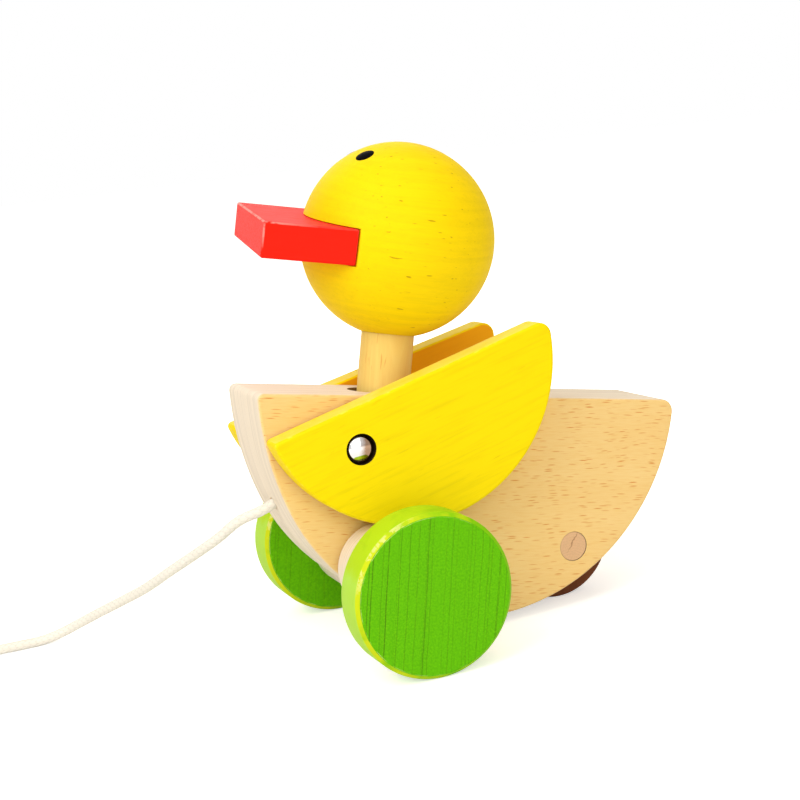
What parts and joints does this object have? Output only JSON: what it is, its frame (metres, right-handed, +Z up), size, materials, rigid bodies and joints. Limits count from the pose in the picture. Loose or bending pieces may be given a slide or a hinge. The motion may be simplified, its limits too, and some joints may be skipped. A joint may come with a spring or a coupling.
{
  "type": "pull-along duck",
  "caption": "Wooden pull-along duck: half-disc beech body, ball head with a block bill on a nodding neck, hinged wings over cam drums, round wheels, a tail roller and a pull cord.",
  "frame": {"origin": "centre of the bottom of the duck's box, on the floor under its wheels and roller, cord left out", "axes": "+X is the way the duck is pulled, +Y its left side, +Z up from the floor"},
  "size_m": [0.2704, 0.1222, 0.1528],
  "materials": {
    "beech": "oiled beech",
    "dowel": "oiled dowel",
    "yellow": "thin yellow paint over the grain",
    "red": "red paint",
    "green": "thin green paint over the grain",
    "brown": "dark brown stain",
    "black": "black stud",
    "steel": "bright steel",
    "chrome": "plated push cap",
    "cotton": "braided cotton"
  },
  "bodies": {
    "body": {"body_block": "beech", "neck_pin": "steel", "wing_pin": "steel", "wing_washer_left": "steel", "wing_washer_right": "steel", "wing_cap_left": "chrome", "wing_cap_right": "chrome", "axle_washer_left": "steel", "axle_washer_right": "steel", "tail_axle": "dowel", "pull_cord": "cotton", "cord_coil": "cotton", "cord_knot": "cotton"},
    "head": {"neck_dowel": "dowel", "head_ball": "yellow", "bill": "red", "eye_left": "black", "eye_right": "black"},
    "left_wing": {"wing_left": "yellow"},
    "right_wing": {"wing_right": "yellow"},
    "wheelset": {"wheel_axle": "dowel", "wheel_left": "green", "wheel_right": "green", "cam_left": "beech", "cam_right": "beech"},
    "roller": {"tail_roller": "brown"}
  },
  "joints": [
    {"name": "head_nod", "type": "hinge", "parent": "body", "child": "head", "pos_m": [0.03006, 0, 0.05002], "axis": [0, 1, 0], "range_deg": [-5, 5]},
    {"name": "left_wing_flap", "type": "hinge", "parent": "body", "child": "left_wing", "pos_m": [0.04267, 0, 0.06564], "axis": [0, 1, 0], "range_deg": [0, 8]},
    {"name": "right_wing_flap", "type": "hinge", "parent": "body", "child": "right_wing", "pos_m": [0.04267, 0, 0.06564], "axis": [0, 1, 0], "range_deg": [0, 8]},
    {"name": "wheel_roll", "type": "hinge", "parent": "body", "child": "wheelset", "pos_m": [0.03382, 0, 0.02438], "axis": [0, 1, 0], "continuous": true},
    {"name": "roller_roll", "type": "hinge", "parent": "body", "child": "roller", "pos_m": [-0.02822, 0, 0.01958], "axis": [0, 1, 0], "continuous": true}
  ]
}
